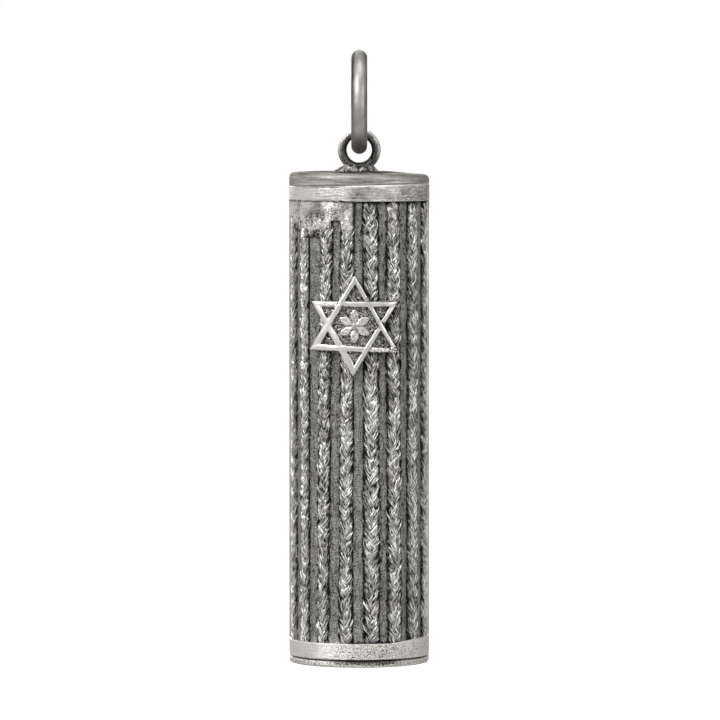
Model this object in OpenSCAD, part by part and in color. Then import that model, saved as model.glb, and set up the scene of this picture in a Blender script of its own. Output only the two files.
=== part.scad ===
// Half-round silver scroll case that hangs from a jump ring. Plaited cords run down its front
// between two plain bands, a star plaque is set over them, and the bottom cap pulls out.
// Millimetres, +Z up, front towards -Y.
// Origin: where a chain bears, inside the top of the jump ring.

/* [Case] */
// Width of the case over its bands
case_w = 10.8; // [9.4:0.1:16]
// Height of the case, from under the bottom cap to the top plate's upper face
case_h = 37.8; // [30:0.2:50]
// Depth of the straight sides behind the half-round front
side_d = 0.9; // [0.7:0.1:2]
// Wall of the half-round shell
shell_t = 0.6; // [0.4:0.05:0.9]
// Thickness of the flat back plate
back_t = 0.6; // [0.4:0.1:1.2]
// Thickness of the top plate
top_t = 0.95; // [0.5:0.05:1.5]
// Rounding of the two end plates' outer edges
edge_r = 0.2; // [0.05:0.05:0.3]

/* [Bands and cords] */
// How far the bands and cords stand out from the shell
trim_t = 0.3; // [0.2:0.05:0.6]
// Height of the top band
top_band_h = 1.3; // [0.8:0.05:3]
// Height of the bottom band
bottom_band_h = 1.25; // [0.8:0.05:3]
// Number of plaited cords
cord_n = 8; // [2:1:8]
// Width of a cord
cord_w = 1.2; // [0.8:0.05:1.3]
// Angle round the shell from the first cord to the last
cord_span = 149; // [115:0.5:155]

/* [Star plaque] */
// Distance from the star's centre to its tips
star_r = 3.83; // [2.5:0.01:4.6]
// Distance of the star's centre below the top plate's upper face
star_drop = 11.7; // [9.5:0.1:16]
// Turn of the plaque round the case, to the left of the middle as seen from the front
star_turn = 3.7; // [0:0.1:8]
// Radius that the plaque is bent to
star_bend = 7.5; // [6:0.5:20]
// How far the plaque's field stands in front of the cords
star_lift = 0.15; // [0.1:0.05:0.4]
// Width of the two triangles' bars
bar_w = 0.38; // [0.25:0.01:0.6]
// Height of the bars above the field
bar_h = 0.3; // [0.15:0.05:0.5]
// Length of the rosette's petals, from its centre
petal_l = 1.3; // [0.8:0.05:1.5]
// Height of the rosette above the field
petal_h = 0.18; // [0.1:0.02:0.3]

/* [Eye and jump ring] */
// Inner diameter of the eye
eye_hole = 1.9; // [1.8:0.05:3]
// Wire of the eye
eye_wire = 0.7; // [0.5:0.05:0.9]
// Radius of each of the two solder beads at the eye's foot
bead_r = 0.85; // [0.7:0.05:0.95]
// Inner diameter of the jump ring
ring_hole = 5.5; // [4.5:0.1:7]
// Wire of the jump ring
ring_wire = 1.25; // [0.8:0.05:1.5]
// Distance of the eye and the ring in front of the half-round's axis
hang_d = 1.5; // [1:0.05:3]

/* [Bottom cap] */
// Thickness of the cap's plate
cap_t = 0.5; // [0.4:0.05:1]
// Gap between the cap's plate and the case's rim
cap_gap = 0.1; // [0.05:0.01:0.2]
// Height of the collar that plugs into the case
collar_h = 2.5; // [1.5:0.1:5]
// Wall of the collar
collar_t = 0.35; // [0.25:0.05:0.5]

/* [Scroll] */
// Free height over the sleeve inside the case
head_room = 3; // [1:0.5:8]
// Hollow at the middle of the roll
scroll_core = 0.9; // [0.5:0.1:1.5]
// Wall of the clear sleeve round the roll
sleeve_t = 0.12; // [0.08:0.02:0.2]
// How far the sleeve runs past the roll at the top
sleeve_over = 0.4; // [0.2:0.1:1]

/* [Fits] */
// Clearance between the collar and the shell, all round
plug_fit = 0.04; // [0.02:0.01:0.08]
// Clearance between the sleeve and the collar
sleeve_fit = 0.1; // [0.06:0.02:0.2]
// Clearance between the roll and its sleeve
roll_fit = 0.03; // [0.02:0.01:0.08]
// Clearance under the eye's wire where the ring carries it
ring_fit = 0.03; // [0.01:0.01:0.08]

/* [Hidden] */
$fn = 96;
cut = 1; // how far a cutter runs past what it cuts

outer_r = case_w / 2;            // over the bands and the end plates
shell_r = outer_r - trim_t;      // the shell's own outside
bore_r = shell_r - shell_t;      // the shell's inside
back_y = side_d + back_t;        // the back plate's outer face
rim_z = cap_t + cap_gap;         // the case's open bottom rim
shell_top = case_h - top_t;
cord_pitch = cord_span / (cord_n - 1);
cord_sag = outer_r - sqrt(shell_r ^ 2 - (cord_w / 2) ^ 2);  // a cord's crown above its two edges
crown_r = ((cord_w / 2) ^ 2 + cord_sag ^ 2) / (2 * cord_sag);
field_y = -(outer_r + star_lift);           // front of the star's field
bend_y = field_y + star_bend;               // axis that the plaque is bent round
star_z = case_h - star_drop;
eye_r = (eye_hole + eye_wire) / 2;          // to the middle of the eye's wire
eye_z = case_h + eye_r + eye_wire / 2;      // centre of the eye
pivot_z = eye_z + eye_r;                    // middle of the eye's top wire
ring_r = (ring_hole + ring_wire) / 2;       // to the middle of the ring's wire
ring_z = pivot_z + ring_hole / 2 - eye_wire / 2 - ring_fit;
bead_x = bead_r - 0.1;                      // each bead's distance from the middle
bead_sink = 0.1;                            // how deep a bead's centre lies in the top plate
hang_z = ring_z + ring_hole / 2;            // where the chain bears
collar_r = bore_r - plug_fit;
collar_y = side_d - plug_fit;
sleeve_r = (collar_r + collar_y) / 2 - collar_t - sleeve_fit;
sleeve_y = (collar_y - collar_r) / 2;       // the roll stands midway between front and back
sleeve_z = cap_t + sleeve_fit / 2;
sleeve_l = shell_top - head_room - sleeve_z;
scroll_l = sleeve_l - sleeve_over;
silver = [0.72, 0.71, 0.68];
dark_silver = [0.42, 0.41, 0.39];

// Everything is drawn from the underside of the bottom cap and the axis of the half-round,
// then moved so that the chain's bearing point is the origin.
module hung() {
    translate([0, hang_d, -hang_z]) children();
}

// Outline of the case at radius r: a half-round front and straight sides back to y.
module case_outline(r, y) {
    intersection() {
        union() {
            circle(r);
            translate([-r, 0]) square([2 * r, y]);
        }
        translate([-r, -r]) square([2 * r, r + y]);
    }
}

// A wall of the case's outline between two radii, open at the back.
module case_wall(r_out, r_in, z, h) {
    translate([0, 0, z]) linear_extrude(h) difference() {
        case_outline(r_out, side_d);
        case_outline(r_in, side_d + cut);
    }
}

// Section of an end plate, with its upper outer edge rounded.
module plate_section(t) {
    square([outer_r - edge_r, t]);
    square([outer_r, t - edge_r]);
    translate([outer_r - edge_r, t - edge_r]) circle(edge_r);
}

// Plate of the case's whole outline, rounded along its front and sides.
module end_plate(t) {
    rotate([0, 0, 180]) rotate_extrude(angle = 180) plate_section(t);
    translate([0, back_y, 0]) rotate([90, 0, 0]) linear_extrude(back_y) {
        plate_section(t);
        mirror([1, 0]) plate_section(t);
    }
}

module front_shell() {
    color(dark_silver) hung() case_wall(shell_r, bore_r, rim_z, shell_top - rim_z);
}

module back_plate() {
    color(silver) hung()
        translate([-outer_r, side_d, rim_z]) cube([case_w, back_t, shell_top - rim_z]);
}

module top_plate() {
    color(silver) hung() translate([0, 0, shell_top]) end_plate(top_t);
}

module top_band() {
    color(silver) hung() case_wall(outer_r, shell_r, shell_top - top_band_h, top_band_h);
}

module bottom_band() {
    color(silver) hung() case_wall(outer_r, shell_r, rim_z, bottom_band_h);
}

// One cord, counted from the left: a rounded strip seated on the shell between the bands.
module cord(i) {
    low = rim_z + bottom_band_h;
    color(silver) hung() rotate([0, 0, (i - 1) * cord_pitch - cord_span / 2])
        translate([0, 0, low])
            linear_extrude(shell_top - top_band_h - low)
                difference() {
                    translate([0, crown_r - outer_r]) circle(crown_r);
                    circle(shell_r);
                }
}

// Stands a flat drawing up on the front of the case, about the star's centre.
module on_front() {
    rotate([0, 0, -star_turn]) translate([0, 0, star_z])
        rotate([90, 0, 0]) linear_extrude(2 * outer_r) children();
}

// The bent field's surface, moved forward by h, as a solid behind it.
module bent_field(h) {
    rotate([0, 0, -star_turn]) translate([0, bend_y, star_z - 2 * star_r])
        cylinder(r = star_bend + h, h = 4 * star_r);
}

module triangle(r, up) {
    rotate(up ? 90 : -90) circle(r, $fn = 3);
}

// The plaque's ground, which lies on the cords' crowns.
module star_plate() {
    color(dark_silver) hung() difference() {
        intersection() {
            on_front() {
                triangle(star_r, true);
                triangle(star_r, false);
            }
            bent_field(0);
        }
        translate([0, 0, star_z - 2 * star_r]) cylinder(r = outer_r, h = 4 * star_r);
    }
}

module star_frame() {
    color(silver) hung() difference() {
        intersection() {
            on_front() for (up = [true, false]) difference() {
                triangle(star_r, up);
                triangle(star_r - 2 * bar_w, up);
            }
            bent_field(bar_h);
        }
        bent_field(0);
    }
}

module star_rosette() {
    petal_bow = petal_l * 0.62; // radius of a petal's two edges
    color(silver) hung() difference() {
        intersection() {
            on_front() for (a = [0:60:300]) rotate(a) intersection() {
                translate([sqrt(petal_bow ^ 2 - (petal_l / 2) ^ 2), petal_l / 2]) circle(petal_bow);
                translate([-sqrt(petal_bow ^ 2 - (petal_l / 2) ^ 2), petal_l / 2]) circle(petal_bow);
            }
            bent_field(petal_h);
        }
        bent_field(0);
    }
}

module eye_wire_ring() {
    translate([0, -hang_d, eye_z]) rotate([90, 0, 0])
        rotate_extrude() translate([eye_r, 0]) circle(d = eye_wire);
}

module hanging_eye() {
    color(silver) hung() eye_wire_ring();
}

// Two beads of solder that hold the eye to the top plate, one each side.
module eye_solder() {
    color(silver) hung() difference() {
        for (s = [-1, 1]) translate([s * bead_x, -hang_d, case_h - bead_sink]) sphere(bead_r);
        translate([-outer_r, -outer_r, case_h - 2 * outer_r]) cube(2 * outer_r);
        eye_wire_ring();
    }
}

module jump_ring() {
    color(silver) hung() translate([0, -hang_d, ring_z]) rotate([0, 90, 0])
        rotate_extrude() translate([ring_r, 0]) circle(d = ring_wire);
}

module bottom_cap() {
    color(silver) hung() translate([0, 0, cap_t]) mirror([0, 0, 1]) end_plate(cap_t);
}

module cap_collar() {
    color(silver) hung() translate([0, 0, cap_t]) linear_extrude(collar_h) difference() {
        case_outline(collar_r, collar_y);
        case_outline(collar_r - collar_t, collar_y - collar_t);
    }
}

module parchment_scroll() {
    color([0.86, 0.8, 0.66]) hung() translate([0, sleeve_y, sleeve_z]) difference() {
        cylinder(r = sleeve_r - sleeve_t - roll_fit, h = scroll_l);
        translate([0, 0, -cut]) cylinder(d = scroll_core, h = scroll_l + 2 * cut);
    }
}

module scroll_sleeve() {
    color([0.85, 0.9, 0.92, 0.4]) hung() translate([0, sleeve_y, sleeve_z]) difference() {
        cylinder(r = sleeve_r, h = sleeve_l);
        translate([0, 0, -cut]) cylinder(r = sleeve_r - sleeve_t, h = sleeve_l + 2 * cut);
    }
}

front_shell();
back_plate();
top_plate();
top_band();
bottom_band();
for (i = [1:cord_n]) cord(i);
star_plate();
star_frame();
star_rosette();
hanging_eye();
eye_solder();
jump_ring();
bottom_cap();
cap_collar();
parchment_scroll();
scroll_sleeve();
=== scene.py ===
import math
import random

import bpy
import numpy as np
from mathutils import Matrix, Vector, noise


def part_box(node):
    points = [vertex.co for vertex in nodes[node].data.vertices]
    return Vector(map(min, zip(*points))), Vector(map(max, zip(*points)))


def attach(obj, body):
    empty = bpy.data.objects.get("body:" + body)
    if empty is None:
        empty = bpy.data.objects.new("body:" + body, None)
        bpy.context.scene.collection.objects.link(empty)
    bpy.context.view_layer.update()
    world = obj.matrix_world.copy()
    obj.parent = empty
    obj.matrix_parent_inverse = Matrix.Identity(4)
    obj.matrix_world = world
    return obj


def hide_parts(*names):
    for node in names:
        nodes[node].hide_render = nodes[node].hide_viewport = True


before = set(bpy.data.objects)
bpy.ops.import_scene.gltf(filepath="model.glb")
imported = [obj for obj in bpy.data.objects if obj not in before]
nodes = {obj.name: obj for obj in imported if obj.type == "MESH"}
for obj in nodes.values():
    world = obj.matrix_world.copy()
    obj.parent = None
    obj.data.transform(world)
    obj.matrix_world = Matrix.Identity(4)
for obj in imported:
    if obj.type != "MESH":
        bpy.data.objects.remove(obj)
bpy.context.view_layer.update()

# Mezuzah case pendant: antiqued silver, eight plaited cords, a star plaque, a pull-out cap.
# Lengths in the settings are millimetres unless a note says otherwise.
mm = 0.001

bandLow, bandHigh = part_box("top_band")
footLow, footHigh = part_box("bottom_band")
plateLow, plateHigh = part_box("top_plate")
shellLow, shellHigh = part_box("front_shell")
bandR = (bandHigh.x - bandLow.x) / 2
shellR = (shellHigh.x - shellLow.x) / 2
axisY = bandLow.y + bandR  # the half-round's axis, which stands at x = 0
flowerLow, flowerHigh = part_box("star_rosette")
starMiddle = (flowerLow.z + flowerHigh.z) / 2 / mm
print("frame loaded:", len(nodes), "nodes")


# small helpers

def pick(ob):
    bpy.ops.object.select_all(action="DESELECT")
    ob.select_set(True)
    bpy.context.view_layer.objects.active = ob


def readPoints(ob):
    co = np.zeros(len(ob.data.vertices) * 3)
    ob.data.vertices.foreach_get("co", co)
    return co.reshape(-1, 3)


def writePoints(ob, co):
    ob.data.vertices.foreach_set("co", np.asarray(co, float).ravel())
    ob.data.update()


def readNormals(ob):
    n = np.zeros(len(ob.data.vertices) * 3)
    ob.data.vertex_normals.foreach_get("vector", n)
    return n.reshape(-1, 3)


def smooth(x, low=0.0, high=1.0):
    t = np.clip((np.asarray(x, float) - low) / (high - low), 0, 1)
    return t * t * (3 - 2 * t)


def wobble(co, size, seed=0.0):
    # soft noise, about -1 to 1, with bumps of the given size in metres
    shift = Vector((seed * 3.17, seed * 1.31, seed * 2.23))
    return np.array([noise.noise(Vector(p) / size + shift) for p in co])


def paint(ob, name, values):
    layer = ob.data.attributes.get(name)
    if layer is None:
        layer = ob.data.attributes.new(name, "FLOAT", "POINT")
    values = np.broadcast_to(np.asarray(values, np.float32), len(ob.data.vertices))
    layer.data.foreach_set("value", np.ascontiguousarray(values))


def proud(ob, rounds=3):
    # how far each point stands out from its neighbours, 0 in a hollow, 1 on an edge
    co, normal = readPoints(ob), readNormals(ob)
    ends = np.zeros(len(ob.data.edges) * 2, int)
    ob.data.edges.foreach_get("vertices", ends)
    a, b = ends.reshape(-1, 2).T
    count = np.bincount(np.r_[a, b], minlength=len(co)).clip(1)
    for i in range(rounds):
        mean = np.zeros_like(co)
        np.add.at(mean, a, co[b])
        np.add.at(mean, b, co[a])
        mean /= count[:, None]
        value = ((co - mean) * normal).sum(1) if i == 0 else value
        if i:
            near = np.zeros(len(co))
            np.add.at(near, a, value[b])
            np.add.at(near, b, value[a])
            value = 0.5 * value + 0.5 * near / count
    return np.clip(0.5 + value / (4 * value.std() + 1e-12), 0, 1)


def hill(x, at, wide):
    return np.exp(-((x - at) / wide) ** 2)


def addObject(name, data):
    ob = bpy.data.objects.new(name, data)
    bpy.context.collection.objects.link(ob)
    return ob


def addShape(name, make, **given):
    bpy.ops.object.select_all(action="DESELECT")
    make(**given)
    ob = bpy.context.active_object
    ob.name = name
    return ob


def addSheet(name, columns, rows):
    # a flat grid, one unit on each side, and its points as shares from 0 to 1
    ob = addShape(name, bpy.ops.mesh.primitive_grid_add, x_subdivisions=columns,
                  y_subdivisions=rows, size=1)
    co = readPoints(ob)
    return ob, co[:, 0] + 0.5, co[:, 1] + 0.5


def addTorus(name, centre, wire, outer, turn, shape):
    ob = addShape(name, bpy.ops.mesh.primitive_torus_add, location=centre, rotation=turn,
                  major_radius=outer - wire / 2, minor_radius=wire / 2,
                  major_segments=shape["around"], minor_segments=shape["through"])
    bpy.ops.object.transform_apply(location=True, rotation=True, scale=True)
    return ob


def addWall(ob, thickness, offset):
    wall = ob.modifiers.new("wall", "SOLIDIFY")
    wall.thickness = thickness * mm
    wall.offset = offset
    applyAll(ob)


def applyAll(ob):
    pick(ob)
    for mod in list(ob.modifiers):
        bpy.ops.object.modifier_apply(modifier=mod.name)


def cadCopy(node, name):
    ob = addObject(name, nodes[node].data.copy())
    ob.data.materials.clear()
    pick(ob)
    bpy.ops.mesh.customdata_custom_splitnormals_clear()
    bpy.ops.object.mode_set(mode="EDIT")
    bpy.ops.mesh.select_all(action="SELECT")
    bpy.ops.mesh.remove_doubles(threshold=1e-6)
    bpy.ops.mesh.tris_convert_to_quads()
    bpy.ops.object.mode_set(mode="OBJECT")
    return ob


def fuse(ob, voxel, softness=2):
    # one skin over the whole piece with soft worn edges; worked at a thousand times its size
    ob.data.transform(Matrix.Scale(1000, 4))
    mod = ob.modifiers.new("fuse", "REMESH")
    mod.mode = "VOXEL"
    mod.voxel_size = voxel
    if softness:
        ease = ob.modifiers.new("ease", "SMOOTH")
        ease.factor = 0.5
        ease.iterations = softness
    applyAll(ob)
    ob.data.transform(Matrix.Scale(0.001, 4))
    smoothShade(ob)
    return ob


def smoothShade(ob, angle=None):
    pick(ob)
    if angle is None:
        bpy.ops.object.shade_smooth()
    else:
        bpy.ops.object.shade_smooth_by_angle(angle=math.radians(angle))


def faceOut(ob, outward):
    # an open sheet's faces turned to the side that outward(centre) points to
    pick(ob)
    middle = ob.data.polygons[len(ob.data.polygons) // 2]
    if middle.normal.dot(outward(middle.center)) < 0:
        bpy.ops.object.mode_set(mode="EDIT")
        bpy.ops.mesh.select_all(action="SELECT")
        bpy.ops.mesh.flip_normals()
        bpy.ops.object.mode_set(mode="OBJECT")


def joinAll(parts, name):
    pick(parts[0])
    for ob in parts[1:]:
        ob.select_set(True)
    bpy.ops.object.join()
    parts[0].name = name
    return parts[0]


def seat(ob, body, slot, material, *stoodFor):
    ob.data.materials.clear()
    ob.data.materials.append(material)
    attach(ob, body)
    if stoodFor:
        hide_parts(*stoodFor)
    print("  made", ob.name, len(ob.data.polygons), "faces")
    return ob


# shared surface effects

ownTrees = []  # every node tree made here, to be laid out at the end


def newGroup(name, inputs, outputs):
    group = bpy.data.node_groups.new(name, "ShaderNodeTree")
    ownTrees.append(group)
    for label, kind, value in inputs:
        socket = group.interface.new_socket(label, in_out="INPUT", socket_type="NodeSocket" + kind)
        if value is not None:
            socket.default_value = value
    for label, kind in outputs:
        group.interface.new_socket(label, in_out="OUTPUT", socket_type="NodeSocket" + kind)
    start = group.nodes.new("NodeGroupInput")
    end = group.nodes.new("NodeGroupOutput")
    return group, start.outputs, end.inputs


def feed(tree, node, inputs):
    # each input gets a link if it is given a socket, and else a plain value
    for key, value in inputs.items():
        if isinstance(value, bpy.types.NodeSocket):
            tree.links.new(value, node.inputs[key])
        else:
            node.inputs[key].default_value = value
    return node


def addNode(tree, kind, inputs=None, **settings):
    node = tree.nodes.new("ShaderNode" + kind)
    for key, value in settings.items():
        setattr(node, key, value)
    return feed(tree, node, inputs or {})


def useGroup(tree, group, inputs):
    return feed(tree, addNode(tree, "Group", node_tree=group), inputs)


def sumOf(tree, kind, a, b, c=None):
    inputs = {0: a, 1: b} if c is None else {0: a, 1: b, 2: c}
    return addNode(tree, "Math", inputs, operation=kind).outputs[0]


def spread(tree, value, low, high, toLow=0.0, toHigh=1.0):
    inputs = {"Value": value, "From Min": low, "From Max": high, "To Min": toLow, "To Max": toHigh}
    return addNode(tree, "MapRange", inputs, interpolation_type="SMOOTHSTEP").outputs["Result"]


def blendColor(tree, amount, a, b, kind="MIX"):
    node = addNode(tree, "Mix", data_type="RGBA", blend_type=kind)
    return feed(tree, node, {0: amount, 6: a, 7: b}).outputs[2]


def addNoise(tree, point, scale, detail, roughness):
    return addNode(tree, "TexNoise", {"Vector": point, "Scale": scale, "Detail": detail,
                                      "Roughness": roughness}).outputs["Fac"]


def layOut(tree):
    # nodes in columns, by how many steps each is from the end
    steps = {node.name: 0 for node in tree.nodes}
    for _ in tree.nodes:
        for link in tree.links:
            back = steps[link.to_node.name] + 1
            steps[link.from_node.name] = max(steps[link.from_node.name], back)
    rows = {}
    for name, column in steps.items():
        rows[column] = rows.get(column, -1) + 1
        tree.nodes[name].location = (-230 * column, -280 * rows[column])


def newMaterial(name):
    material = bpy.data.materials.new(name)
    material.use_nodes = True
    tree = material.node_tree
    ownTrees.append(tree)
    point = addNode(tree, "TexCoord").outputs["Object"]
    return material, tree, tree.nodes["Principled BSDF"].inputs, point


def makeBrushMarks():
    # long fine scratches; Along is how dense they are on each axis, per millimetre
    group, given, wanted = newGroup(
        "brushMarks",
        [("Point", "Vector", None), ("Along", "Vector", (1.0, 8.0, 8.0)), ("Contrast", "Float", 0.25)],
        [("Marks", "Float")])
    scaled = addNode(group, "VectorMath", {0: given["Point"], 1: given["Along"]},
                     operation="MULTIPLY").outputs[0]
    inMm = addNode(group, "VectorMath", {0: scaled, "Scale": 1 / mm}, operation="SCALE").outputs[0]
    grain = addNoise(group, inMm, 1.0, 3.0, 0.65)
    low = sumOf(group, "SUBTRACT", 0.5, given["Contrast"])
    high = sumOf(group, "ADD", 0.5, given["Contrast"])
    group.links.new(spread(group, grain, low, high), wanted["Marks"])
    return group


def makeSandGrain():
    # the pits and grains of cast or blasted silver, of the given size in millimetres
    group, given, wanted = newGroup(
        "sandGrain",
        [("Point", "Vector", None), ("Size", "Float", 0.1), ("Pits", "Float", 0.4)],
        [("Grain", "Float"), ("Pits", "Float")])
    perMetre = sumOf(group, "DIVIDE", 1 / mm, given["Size"])
    grain = addNoise(group, given["Point"], perMetre, 2.0, 0.6)
    cells = addNode(group, "TexVoronoi", {"Vector": given["Point"], "Scale": perMetre,
                                          "Randomness": 1.0}).outputs["Distance"]
    group.links.new(spread(group, grain, 0.3, 0.7), wanted["Grain"])
    group.links.new(spread(group, cells, given["Pits"], 0.05), wanted["Pits"])
    return group


def makeWornTone():
    # oxide in the hollows, satin on the flats, bare metal where it rubs; the relief it reads also holds
    # painted light and shade
    group, given, wanted = newGroup(
        "wornTone",
        [("ShadedRelief", "Float", 0.5), ("Low", "Float", 0.3), ("High", "Float", 0.7),
         ("Oxide", "Color", (0.02, 0.02, 0.02, 1)), ("Satin", "Color", (0.3, 0.3, 0.3, 1)),
         ("Bare", "Color", (0.8, 0.8, 0.8, 1))],
        [("Color", "Color"), ("Bareness", "Float")])
    middle = sumOf(group, "ADD", given["Low"], given["High"])
    middle = sumOf(group, "MULTIPLY", middle, 0.5)
    first = spread(group, given["ShadedRelief"], given["Low"], middle)
    second = spread(group, given["ShadedRelief"], middle, given["High"])
    base = blendColor(group, first, given["Oxide"], given["Satin"])
    group.links.new(blendColor(group, second, base, given["Bare"]), wanted["Color"])
    group.links.new(second, wanted["Bareness"])
    return group


def makeCloudyTarnish():
    # soft brown-grey clouds that old silver gets
    group, given, wanted = newGroup(
        "cloudyTarnish",
        [("Color", "Color", (0.5, 0.5, 0.5, 1)), ("Point", "Vector", None), ("Size", "Float", 2.0),
         ("Amount", "Float", 0.4), ("Tint", "Color", (0.55, 0.5, 0.45, 1))],
        [("Color", "Color"), ("Cloud", "Float")])
    perMetre = sumOf(group, "DIVIDE", 1 / mm, given["Size"])
    cloud = addNoise(group, given["Point"], perMetre, 4.0, 0.6)
    mask = spread(group, cloud, 0.42, 0.68)
    amount = sumOf(group, "MULTIPLY", mask, given["Amount"])
    tinted = blendColor(group, amount, given["Color"], given["Tint"], "MULTIPLY")
    group.links.new(tinted, wanted["Color"])
    group.links.new(mask, wanted["Cloud"])
    return group


brushMarks = makeBrushMarks()
sandGrain = makeSandGrain()
wornTone = makeWornTone()
cloudyTarnish = makeCloudyTarnish()


def tone(value, warmth=0.0):
    return (value * (1 + warmth), value, value * (1 - 1.6 * warmth), 1)


oxide = tone(0.018, 0.02)
bare = tone(0.82, 0.025)
# what a silver has unless its own settings say otherwise
plainLook = {
    "contrast": 0.22, "brushTone": 0.15, "brushDeep": 0.3, "grain": 0.09, "grainTone": 0.15,
    "grainDeep": 0.3, "pits": 0.35, "pitTone": 0.0, "pitDeep": 0.0, "sandTone": 0.3, "sandDeep": 0.8,
    "cloud": 2.2, "cloudAmount": 0.4, "tint": tone(0.62, 0.06), "bump": 0.02, "rim": tone(1.0),
    "oxide": oxide, "bare": bare, "low": 0.0,
}


def makeSilver(name, ownLook):
    # antiqued silver; the relief attribute is painted on each piece from its own shape, and on many pieces
    # it also carries painted light and shade; "sand" says where its surface is rough
    look = {**plainLook, **ownLook}
    material, tree, shader, point = newMaterial(name)
    reliefAndShading = addNode(tree, "Attribute", attribute_name="reliefAndShading").outputs["Fac"]
    sand = addNode(tree, "Attribute", attribute_name="sand").outputs["Fac"]
    brush = useGroup(tree, brushMarks, {
        "Point": point, "Along": look["along"], "Contrast": look["contrast"]}).outputs["Marks"]
    grain = useGroup(tree, sandGrain, {
        "Point": point, "Size": look["grain"], "Pits": look["pits"]}).outputs

    # relief with its painted light and shade, shaken a little by the scratches and the grain
    brushTone = look["brushTone"]
    shaken = sumOf(tree, "MULTIPLY_ADD", brush, brushTone, -0.5 * brushTone)
    rough = sumOf(tree, "MULTIPLY_ADD", sand, look["sandTone"], look["grainTone"])
    centred = sumOf(tree, "SUBTRACT", grain["Grain"], 0.55)
    speckle = sumOf(tree, "MULTIPLY", centred, rough)
    level = sumOf(tree, "ADD", reliefAndShading, shaken)
    level = sumOf(tree, "ADD", level, speckle)
    pitted = sumOf(tree, "MULTIPLY", grain["Pits"], look["pitTone"])
    level = sumOf(tree, "SUBTRACT", level, pitted)
    worn = useGroup(tree, wornTone, {
        "ShadedRelief": level, "Low": look["low"], "High": look["high"],
        "Oxide": look["oxide"], "Satin": look["satin"], "Bare": look["bare"]}).outputs
    cloudy = useGroup(tree, cloudyTarnish, {
        "Color": worn["Color"], "Point": point, "Size": look["cloud"],
        "Amount": look["cloudAmount"], "Tint": look["tint"]}).outputs
    tree.links.new(cloudy["Color"], shader["Base Color"])

    polish = spread(tree, worn["Bareness"], 0.0, 1.0, *look["rough"])
    dulled = sumOf(tree, "MULTIPLY_ADD", cloudy["Cloud"], 0.08, polish)
    tree.links.new(dulled, shader["Roughness"])

    height = sumOf(tree, "MULTIPLY", brush, look["brushDeep"])
    rise = sumOf(tree, "MULTIPLY_ADD", sand, look["sandDeep"], look["grainDeep"])
    lumps = sumOf(tree, "MULTIPLY", grain["Grain"], rise)
    height = sumOf(tree, "ADD", height, lumps)
    dents = sumOf(tree, "MULTIPLY", grain["Pits"], look["pitDeep"])
    height = sumOf(tree, "SUBTRACT", height, dents)
    bump = addNode(tree, "Bump", {"Height": height, "Strength": 1.0, "Distance": look["bump"] * mm})
    tree.links.new(bump.outputs["Normal"], shader["Normal"])
    shader["Metallic"].default_value = 1.0
    shader["Specular Tint"].default_value = look["rim"]
    return material


# the silver's finishes

cordSilver = makeSilver("cord silver", {
    "along": (9, 9, 2.5), "brushTone": 0.12, "grain": 0.07, "grainTone": 0.22, "grainDeep": 0.5,
    "low": 0.1, "high": 0.92, "satin": tone(0.35, 0.02), "bare": tone(0.99, 0.01), "rough": (0.5, 0.3),
    "cloud": 2.6, "cloudAmount": 0.3, "bump": 0.012})
shellSilver = makeSilver("sanded shell silver", {
    "along": (4.5, 4.5, 1.1), "brushTone": 0.34, "contrast": 0.18, "grain": 0.12, "grainTone": 0.55,
    "grainDeep": 1.3, "high": 1.15, "oxide": tone(0.04), "satin": tone(0.4, 0.01),
    "bare": tone(0.72, 0.01), "rough": (0.55, 0.38), "cloud": 0.9, "cloudAmount": 0.62, "bump": 0.042,
    "brushDeep": 0.8, "tint": tone(0.6, 0.01)})
bandSilver = makeSilver("brushed band silver", {
    "along": (0.7, 0.7, 13), "brushTone": 0.3, "contrast": 0.2, "grainTone": 0.1, "sandTone": 1.5,
    "sandDeep": 2.2, "grainDeep": 0.15, "high": 0.82, "oxide": tone(0.06, 0.03), "satin": tone(0.45, 0.03),
    "bare": tone(0.93, 0.02), "rough": (0.46, 0.34), "cloud": 1.6, "tint": tone(0.66, 0.07),
    "brushDeep": 0.8, "bump": 0.016})
plateSilver = makeSilver("filed plate silver", {
    "along": (0.45, 0.45, 11), "brushTone": 0.4, "contrast": 0.18, "grain": 0.1, "grainTone": 0.1,
    "sandTone": 0.5, "sandDeep": 1.2, "grainDeep": 0.2, "high": 0.95, "oxide": tone(0.06, 0.03),
    "satin": tone(0.38, 0.035), "rough": (0.5, 0.36), "cloud": 2.0, "cloudAmount": 0.45,
    "tint": tone(0.62, 0.08), "brushDeep": 0.9, "rim": tone(0.3, 0.02)})
backSilver = makeSilver("brushed back silver", {
    "along": (9, 9, 0.5), "brushTone": 0.3, "contrast": 0.16, "grain": 0.12, "grainTone": 0.08,
    "low": -0.1, "high": 0.85, "oxide": tone(0.06, 0.03), "satin": tone(0.42, 0.03),
    "bare": tone(0.74, 0.025), "rough": (0.46, 0.34), "cloud": 4.5, "cloudAmount": 0.55,
    "tint": tone(0.58, 0.06), "brushDeep": 0.5, "grainDeep": 0.2, "bump": 0.012})
starSilver = makeSilver("rubbed star silver", {
    "along": (4, 4, 4), "brushTone": 0.12, "grain": 0.11, "grainTone": 0.06, "sandTone": 0.9,
    "sandDeep": 1.6, "low": 0.08, "high": 0.66, "satin": tone(0.4, 0.03), "bare": tone(0.97, 0.02),
    "rough": (0.45, 0.32), "cloud": 2.4, "cloudAmount": 0.2, "tint": tone(0.7, 0.06), "grainDeep": 0.2,
    "bump": 0.014})
groundSilver = makeSilver("stippled ground silver", {
    "along": (6, 6, 6), "brushTone": 0.1, "grain": 0.13, "grainTone": 0.9, "grainDeep": 1.5, "pits": 0.45,
    "pitTone": 0.12, "pitDeep": 0.6, "low": 0.05, "high": 1.0, "satin": tone(0.3, 0.02),
    "bare": tone(0.8, 0.02), "rough": (0.5, 0.36), "cloud": 1.2, "bump": 0.045})
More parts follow.
